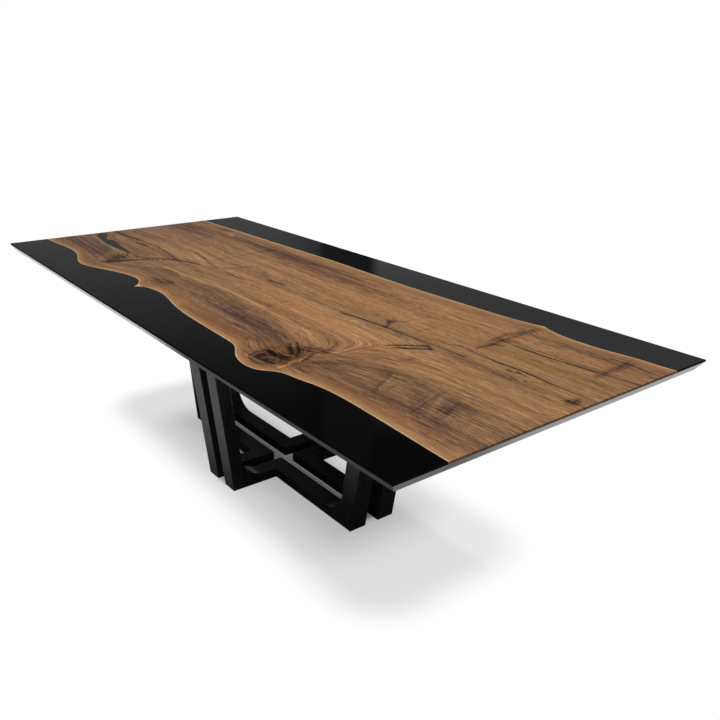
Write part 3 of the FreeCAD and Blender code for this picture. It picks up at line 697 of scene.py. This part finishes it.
def figure(recipe, sway, along, across, plan):
    """How much darker than plain wood the figure is: its broad marks, and the rest, which are its strokes,
    the ripple across the grain and the rings of the knots."""
    rippled = 0.0
    for x, y, length, width, strength in CURLS:
        spot = recipe.spot(plan, (x, y), (length, width), 0)
        rippled = recipe.math("MULTIPLY_ADD", spot, strength, rippled)
    leaning = recipe.math("MULTIPLY_ADD", across, CURL_LEAN, along)
    curl = recipe.join(recipe.math("MULTIPLY", leaning, CURL_WAVES[0]),
                       recipe.math("MULTIPLY", across, CURL_WAVES[1]))
    rest = recipe.math("MULTIPLY", rippled, recipe.noise(curl, waves=1.0, detail=2.0))
    swayed_along = recipe.math("MULTIPLY_ADD", sway, MARK_SWAY[0], along)
    swayed_across = recipe.math("MULTIPLY_ADD", sway, MARK_SWAY[1], across)
    sketch = (recipe.triple(swayed_along), recipe.triple(swayed_across))
    for x, y, length, width, turn in RINGED_KNOTS:
        spot = recipe.spot(sketch, (x, y), (length, width), turn)
        wobble = recipe.math("MULTIPLY", sway, RING_SWAY)
        rings = recipe.math("SINE", recipe.math("MULTIPLY_ADD", spot, RING_TURNS, wobble))
        rest = recipe.math("MULTIPLY_ADD", recipe.math("MULTIPLY", spot, rings), RING_DEPTH, rest)
    broad = 0.0
    for x, y, length, width, turn, depth in MARKS:
        spot = recipe.spot(sketch, (x, y), (length, width), turn)
        broad = recipe.math("MULTIPLY_ADD", spot, depth, broad)
    fray = recipe.noise(recipe.join(along, across), FRAY_WAVES, detail=2.0)
    sketched = []
    for place, push in zip((along, across), STROKE_SWAY):
        swayed = recipe.math("MULTIPLY_ADD", sway, push, place)
        sketched.append(recipe.math("MULTIPLY_ADD", fray, FRAY, swayed))
    sketched = recipe.join(*sketched)
    for width, depth, points in STROKES:
        shade = recipe.fade(recipe.stroke(sketched, points), width * MM)
        rest = recipe.math("MULTIPLY_ADD", shade, depth, rest)
    return broad, rest


def straight_grain(recipe, along, grain):
    """The tone of wood without any figure: fibres over broad layers."""
    fibres = recipe.layers(grain, FIBRE_LAYERS)
    fibres = recipe.math("MULTIPLY", fibres, recipe.shift(along, *FIBRE_GAIN))
    calm = recipe.shift(along, *BROAD_GAIN)
    broad = recipe.layers(grain, BROAD_LAYERS)
    return recipe.math("ADD", recipe.math("MULTIPLY_ADD", broad, calm, PLAIN_TONE), fibres)


def walnut():
    """Oiled walnut: growth lines that dip at the knots, marks, sapwood along both live edges and open pores.
    Below the lip and on the underside it is sealed in black."""
    material, recipe, shader, place = finish("oiled_walnut", Specular_IOR_Level=0.25)
    along, across, height = recipe.split(place)
    flat = recipe.join(along, across)
    plan = (recipe.triple(along), recipe.triple(across))
    grain = recipe.join(along, growth_lines(recipe, along, across, flat, plan))

    tone = straight_grain(recipe, along, grain)
    sway = recipe.layer(flat, *NOISES["sway"])
    threads = recipe.layer(grain, *NOISES["threads"])
    tone = recipe.math("MULTIPLY_ADD", recipe.step(threads, *DARK_THREADS), THREAD_TONE, tone)
    glow = recipe.step(threads, *BRIGHT_THREADS)
    streaks = recipe.layer(grain, *NOISES["streaks"])
    broad, rest = figure(recipe, sway, along, across, plan)
    broad = recipe.math("MULTIPLY", broad, recipe.level(streaks, MARK_STREAKS, 1.0))
    tone = recipe.math("SUBTRACT", recipe.math("SUBTRACT", tone, broad), rest)

    share = recipe.math("MULTIPLY_ADD", along, 0.5 / HALF_LENGTH, 0.5)
    near = live_edge(recipe, share, frame["nodes"]["resin_near"])
    from_near = recipe.math("SUBTRACT", across, near)
    ragged = recipe.math("MULTIPLY_ADD", streaks, RAGGED_STREAKS, recipe.math("MULTIPLY", sway, RAGGED_SWAY))
    heart_band = recipe.math("MULTIPLY", recipe.curve(share, NEAR_HEARTWOOD), HEARTWOOD_REACH)
    heart_edge = recipe.math("SUBTRACT", recipe.math("ADD", from_near, ragged), heart_band)
    heart = recipe.math("MULTIPLY", recipe.step(heart_edge, *HEARTWOOD_INNER),
                        recipe.step(heart_edge, *HEARTWOOD_OUTER))
    tone = recipe.math("MULTIPLY_ADD", heart, HEARTWOOD_TONE, tone)

    wood = recipe.ramp(tone, WALNUT_TONES)
    blush = recipe.layer(grain, *NOISES["blush"])
    blush = recipe.math("MULTIPLY_ADD", blush, BLUSH_SWING, BLUSH_MIDDLE, clamp=True)
    wood = recipe.mix(blush, wood, BLUSH, "MULTIPLY")
    olive = recipe.layer(grain, *NOISES["olive"])
    wood = recipe.mix(recipe.step(olive, *OLIVE_RANGE), wood, OLIVE, "MULTIPLY")
    wood = recipe.mix(recipe.math("MULTIPLY", glow, GLOW_SHARE), wood, GLOW, "MULTIPLY")

    far = live_edge(recipe, share, frame["nodes"]["resin_far"])
    from_far = recipe.math("SUBTRACT", far, across)
    near_band = recipe.math("MULTIPLY", recipe.curve(share, NEAR_SAPWOOD), SAPWOOD_REACH)
    far_band = recipe.math("MULTIPLY", recipe.curve(share, FAR_SAPWOOD), SAPWOOD_REACH)
    near_edge = recipe.math("SUBTRACT", recipe.math("ADD", from_near, ragged), near_band)
    near_sap = recipe.step(near_edge, NEAR_BLEND, -NEAR_BLEND)
    far_edge = recipe.math("SUBTRACT", recipe.math("ADD", from_far, ragged), far_band)
    far_sap = recipe.step(far_edge, FAR_BLEND, -FAR_BLEND)
    sap = recipe.math("MAXIMUM", near_sap, far_sap)
    quiet_tone = recipe.math("MULTIPLY_ADD", tone, SAPWOOD_CONTRAST, SAPWOOD_TONE)
    sap = recipe.math("MULTIPLY", sap, SAPWOOD_COVER)
    wood = recipe.mix(sap, wood, recipe.ramp(quiet_tone, SAPWOOD_TONES))
    for x, y, length, width, tint in TINTS:
        wood = recipe.mix(recipe.spot(plan, (x, y), (length, width), 0), wood, tint, "MULTIPLY")
    inside = recipe.math("MINIMUM", from_near, from_far)
    for wander, start, end, cover, tint in PALE_BANDS:
        band = recipe.step(recipe.math("MULTIPLY_ADD", sway, wander, inside), start, end)
        wood = recipe.mix(recipe.math("MULTIPLY", band, cover), wood, tint)

    pores = recipe.step(recipe.layer(grain, *NOISES["pores"]), *PORE_RANGE)
    wood = recipe.mix(recipe.math("MULTIPLY", pores, PORE_COVER), wood, PORE)
    end = recipe.step(recipe.math("ABSOLUTE", along), HALF_LENGTH - END_START, HALF_LENGTH - END_FULL)
    wood = recipe.mix(end, wood, recipe.mix(END_COVER, wood, END_GRAIN))
    sealed = below_lip(recipe, height)
    wood = recipe.mix(sealed, wood, BLACK_SEAL)
    recipe.feed(shader.inputs["Base Color"], wood)
    satin = recipe.level(streaks, swing=0.05, middle=0.42)
    recipe.feed(shader.inputs["Roughness"], recipe.between(sealed, satin, BEVEL_ROUGHNESS))
    return material


def resin():
    """Opaque black epoxy, polished on top and rubbed to a satin under the lip."""
    material, recipe, shader, place = finish("polished_resin", IOR=1.5)
    height = recipe.split(place)[2]
    cloud = recipe.noise(place, waves=6.0, detail=3.0)
    recipe.feed(shader.inputs["Base Color"], recipe.blend(cloud, *RESIN_TINTS))
    rubbed = recipe.noise(place, waves=240.0, detail=2.0)
    polish = recipe.level(rubbed, swing=0.012, middle=0.045)
    bevel = below_lip(recipe, height)
    recipe.feed(shader.inputs["Roughness"], recipe.between(bevel, polish, BEVEL_ROUGHNESS))
    return material


def lacquer():
    """Satin black lacquer over laminated hardwood, whose grain shows faintly through it."""
    material, recipe, shader, place = finish("black_lacquer", IOR=1.39)
    grain = recipe.stretched(place, waves=(60, 60, 14), detail=4.0)
    recipe.feed(shader.inputs["Base Color"], recipe.blend(grain, *LACQUER_TINTS))
    mottle = recipe.noise(place, waves=35.0, detail=3.0)
    recipe.feed(shader.inputs["Roughness"], recipe.level(mottle, swing=0.05, middle=0.24))
    recipe.feed(shader.inputs["Normal"], recipe.bump(grain, strength=0.06, distance=0.4 * MM))
    return material


def powder_coat():
    """Fine-textured black powder coat on steel."""
    material, recipe, shader, place = finish("powder_coat", IOR=1.45)
    orange_peel = recipe.noise(place, waves=900.0, detail=2.0)
    recipe.feed(shader.inputs["Base Color"], recipe.blend(orange_peel, *COAT_TINTS))
    recipe.feed(shader.inputs["Roughness"], recipe.level(orange_peel, swing=0.06, middle=0.50))
    recipe.feed(shader.inputs["Normal"], recipe.bump(orange_peel, strength=0.35, distance=0.2 * MM))
    return material


def metal(name, tints, roughness, waves):
    """Bare or plated metal with a cloudy surface."""
    material, recipe, shader, place = finish(name, Metallic=1.0)
    cloud = recipe.noise(place, waves, detail=3.0)
    recipe.feed(shader.inputs["Base Color"], recipe.blend(cloud, *tints))
    recipe.feed(shader.inputs["Roughness"], recipe.level(cloud, swing=0.08, middle=roughness))
    return material


def beech():
    """Bare beech with its short dark flecks."""
    material, recipe, shader, place = finish("bare_beech")
    grain = recipe.stretched(place, waves=(40, 40, 600), detail=3.0)
    flecks = recipe.stretched(place, waves=(300, 300, 1500), detail=1.0)
    tint = recipe.blend(grain, *BEECH_TINTS)
    fleck_share = recipe.math("MULTIPLY", recipe.step(flecks, *FLECK_RANGE), FLECK_COVER)
    recipe.feed(shader.inputs["Base Color"], recipe.mix(fleck_share, tint, BEECH_FLECK))
    recipe.feed(shader.inputs["Roughness"], recipe.level(grain, swing=0.06, middle=0.6))
    return material


def felt():
    """Pressed grey felt with loose fibres."""
    material, recipe, shader, place = finish("pressed_felt", Sheen_Weight=0.4, Sheen_Roughness=0.5)
    fibres = recipe.noise(place, waves=1400.0, detail=3.0)
    recipe.feed(shader.inputs["Base Color"], recipe.blend(fibres, *FELT_TINTS))
    recipe.feed(shader.inputs["Roughness"], recipe.level(fibres, swing=0.04, middle=0.93))
    recipe.feed(shader.inputs["Normal"], recipe.bump(fibres, strength=0.6, distance=0.4 * MM))
    return material


def dress(piece, material):
    """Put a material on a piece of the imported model."""
    if not piece.material_slots:
        piece.data.materials.append(material)
    for slot in piece.material_slots:
        slot.material = material


def camera():
    """The camera, turned about the upright, tipped up from straight down, and rolled about its own axis."""
    lens = bpy.data.cameras.new("camera")
    lens.lens = CAMERA_LENS
    lens.sensor_width = CAMERA_SENSOR
    eye = bpy.data.objects.new("camera", lens)
    bpy.context.scene.collection.objects.link(eye)
    turn = Matrix.Rotation(math.radians(CAMERA_TURN), 3, "Z")
    tilt = Matrix.Rotation(math.radians(CAMERA_TILT), 3, "X")
    roll = Matrix.Rotation(math.radians(CAMERA_ROLL), 3, "Z")
    eye.matrix_world = Matrix.Translation(CAMERA_PLACE) @ (turn @ tilt @ roll).to_4x4()
    bpy.context.scene.camera = eye


def lamp():
    """A rectangular soft box overhead, which no polished face mirrors."""
    light = bpy.data.lights.new("overhead_box", "AREA")
    light.shape = "RECTANGLE"
    light.size, light.size_y = LAMP_SIZE
    light.energy = LAMP_POWER
    box = bpy.data.objects.new("overhead_box", light)
    bpy.context.scene.collection.objects.link(box)
    box.location = LAMP_PLACE
    towards = Vector(LAMP_AIM) - box.location
    box.rotation_euler = towards.to_track_quat("-Z", "Y").to_euler()
    box.visible_glossy = False


def studio_walls():
    """The world: an even dome of light. The camera sees plain white in it, and a polished top mirrors dim
    walls that fade upwards, with a dark gap between two of them and dark on the near side."""
    world = bpy.data.worlds.new("studio_walls")
    bpy.context.scene.world = world
    world.use_nodes = True
    recipe = Recipe(world.node_tree)
    output = recipe.add("ShaderNodeOutputWorld")
    background = recipe.add("ShaderNodeBackground")
    recipe.tree.links.new(background.outputs[0], output.inputs[0])
    x, y, z = recipe.split(recipe.add("ShaderNodeTexCoord").outputs["Generated"])
    left_wall = recipe.ramp(z, [(height, grey(level)) for height, level in LEFT_WALL])
    right_wall = recipe.ramp(z, [(height, grey(level)) for height, level in RIGHT_WALL])
    bearing = recipe.math("ARCTAN2", y, recipe.math("MULTIPLY", x, -1.0))
    bearing = recipe.math("MULTIPLY", bearing, math.degrees(1.0))
    dimmed = recipe.math("MULTIPLY_ADD", recipe.step(bearing, *LEFT_DIMMING), LEFT_LOSS, 1.0)
    left_wall = recipe.mix(1.0, left_wall, recipe.triple(dimmed), "MULTIPLY")
    walls = recipe.mix(recipe.math("GREATER_THAN", bearing, WALL_CORNER), left_wall, right_wall)
    gap = recipe.math("MULTIPLY", recipe.step(bearing, *WALL_GAP_LEFT), recipe.step(bearing, *WALL_GAP_RIGHT))
    walls = recipe.mix(gap, walls, grey(WALL_GAP_LEVEL))
    walls = recipe.mix(recipe.step(y, *NEAR_SIDE), walls, grey(NEAR_LEVEL))
    path = recipe.add("ShaderNodeLightPath").outputs
    dome = recipe.mix(path["Is Glossy Ray"], grey(DOME_LEVEL), walls)
    recipe.feed(background.inputs["Color"], recipe.mix(path["Is Camera Ray"], dome, grey(1.0)))


def floor():
    """A pale floor out to the horizon, clear from below. The eye, and what is mirrored, gets a share of plain
    white from it. Where that share is cut, under the table, in the frame gaps and in the inner corners,
    shadow is painted on the floor, and near the base mirrored rays see a dark floor, which is painted shade."""
    corners = [(x * FLOOR_REACH, y * FLOOR_REACH, 0) for x, y in ((-1, -1), (1, -1), (1, 1), (-1, 1))]
    mesh = bpy.data.meshes.new("floor")
    mesh.from_pydata(corners, [], [(0, 1, 2, 3)])
    ground = bpy.data.objects.new("floor", mesh)
    bpy.context.scene.collection.objects.link(ground)
    material = bpy.data.materials.new("floor")
    material.use_nodes = True
    recipe = Recipe(material.node_tree)
    output = recipe.add("ShaderNodeOutputMaterial")
    diffuse = recipe.add("ShaderNodeBsdfDiffuse")
    white = recipe.add("ShaderNodeEmission")
    path = recipe.add("ShaderNodeLightPath").outputs
    spot = recipe.add("ShaderNodeTexCoord").outputs["Object"]
    ahead_x, ahead_y, _ = recipe.split(spot)
    place = recipe.vector("ABSOLUTE", spot)
    outside = recipe.beyond(place, PAINTED_SHADOW_BOX)
    along, across, _ = recipe.split(place)

    # Painted shadow in the gaps between the frames, as far as the base reaches.
    off_gaps = recipe.step(recipe.math("MINIMUM", along, across), *FRAME_GAP)
    past_rails = recipe.math("MAXIMUM", recipe.math("SUBTRACT", along, BASE_HALF_LENGTH),
                             recipe.math("SUBTRACT", across, BASE_HALF_WIDTH))
    clear_of_gap_shadow = recipe.math("MAXIMUM", off_gaps, recipe.step(past_rails, 0.0, BASE_BLEND))
    # Painted shadow under the table: the white share is lowest at the rails and rises outwards.
    under = recipe.shift(recipe.beyond(place, RAIL_BOX), *UNDER_SHADOW_RISE)
    under = recipe.math("MULTIPLY_ADD", recipe.step(ahead_y, *BEHIND), BEHIND_GAIN, under)
    # Deeper painted shadow on the floor in the inner corners of the left frames.
    nook_shadow = recipe.math("MULTIPLY", recipe.step(across, *NOOK_ACROSS), recipe.step(ahead_x, *NOOK_LEFT))
    nook_shadow = recipe.math("MULTIPLY", nook_shadow, recipe.step(along, *NOOK_END))
    nook_shadow = recipe.math("MULTIPLY", nook_shadow, off_gaps)
    under = recipe.math("MULTIPLY", under, recipe.between(nook_shadow, 1.0, NOOK_SHADOW_SHARE))
    seen_share = recipe.math("MULTIPLY", recipe.shift(outside, *PAINTED_SHADOW_EDGE, under, 1.0),
                             recipe.between(clear_of_gap_shadow, GAP_SHADOW_SHARE, 1.0))
    # Painted shade in reflections: mirrored rays see white floor only away from the base, dark floor near it.
    swept = recipe.math("MULTIPLY", recipe.step(ahead_y, *MIRROR_NEAR), recipe.step(ahead_x, *MIRROR_RIGHT))
    mirrored_share = recipe.math("MULTIPLY", recipe.step(outside, *MIRROR_EDGE), swept)
    seen = recipe.math("MAXIMUM", path["Is Camera Ray"], path["Is Transmission Ray"])
    share = recipe.math("ADD", recipe.math("MULTIPLY", seen, seen_share),
                        recipe.math("MULTIPLY", path["Is Glossy Ray"], mirrored_share))

    recipe.feed(diffuse.inputs["Color"], recipe.mix(path["Is Glossy Ray"], FLOOR_COLOUR, MIRRORED_FLOOR_SHADE))
    blend = recipe.add("ShaderNodeMixShader")
    recipe.feed(blend.inputs[0], share)
    recipe.tree.links.new(diffuse.outputs[0], blend.inputs[1])
    recipe.tree.links.new(white.outputs[0], blend.inputs[2])
    clear = recipe.add("ShaderNodeBsdfTransparent")
    one_sided = recipe.add("ShaderNodeMixShader")
    recipe.feed(one_sided.inputs[0], recipe.add("ShaderNodeNewGeometry").outputs["Backfacing"])
    recipe.tree.links.new(blend.outputs[0], one_sided.inputs[1])
    recipe.tree.links.new(clear.outputs[0], one_sided.inputs[2])
    recipe.tree.links.new(one_sided.outputs[0], output.inputs[0])
    mesh.materials.append(material)


def dress_all():
    """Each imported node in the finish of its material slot."""
    finishes = {
        "walnut": walnut(),
        "resin": resin(),
        "lacquer": lacquer(),
        "plate_steel": powder_coat(),
        "zinc": metal("zinc_plating", ZINC_TINTS, roughness=0.30, waves=300.0),
        "brass": metal("turned_brass", BRASS_TINTS, roughness=0.28, waves=200.0),
        "key_wood": beech(),
        "felt": felt(),
    }
    for part in frame["record"]["subparts"]:
        dress(frame["nodes"][part["node"]], finishes[part["material_slot"]])


camera()
dress_all()
floor()
studio_walls()
lamp()
bpy.context.scene.view_settings.view_transform = "Standard"
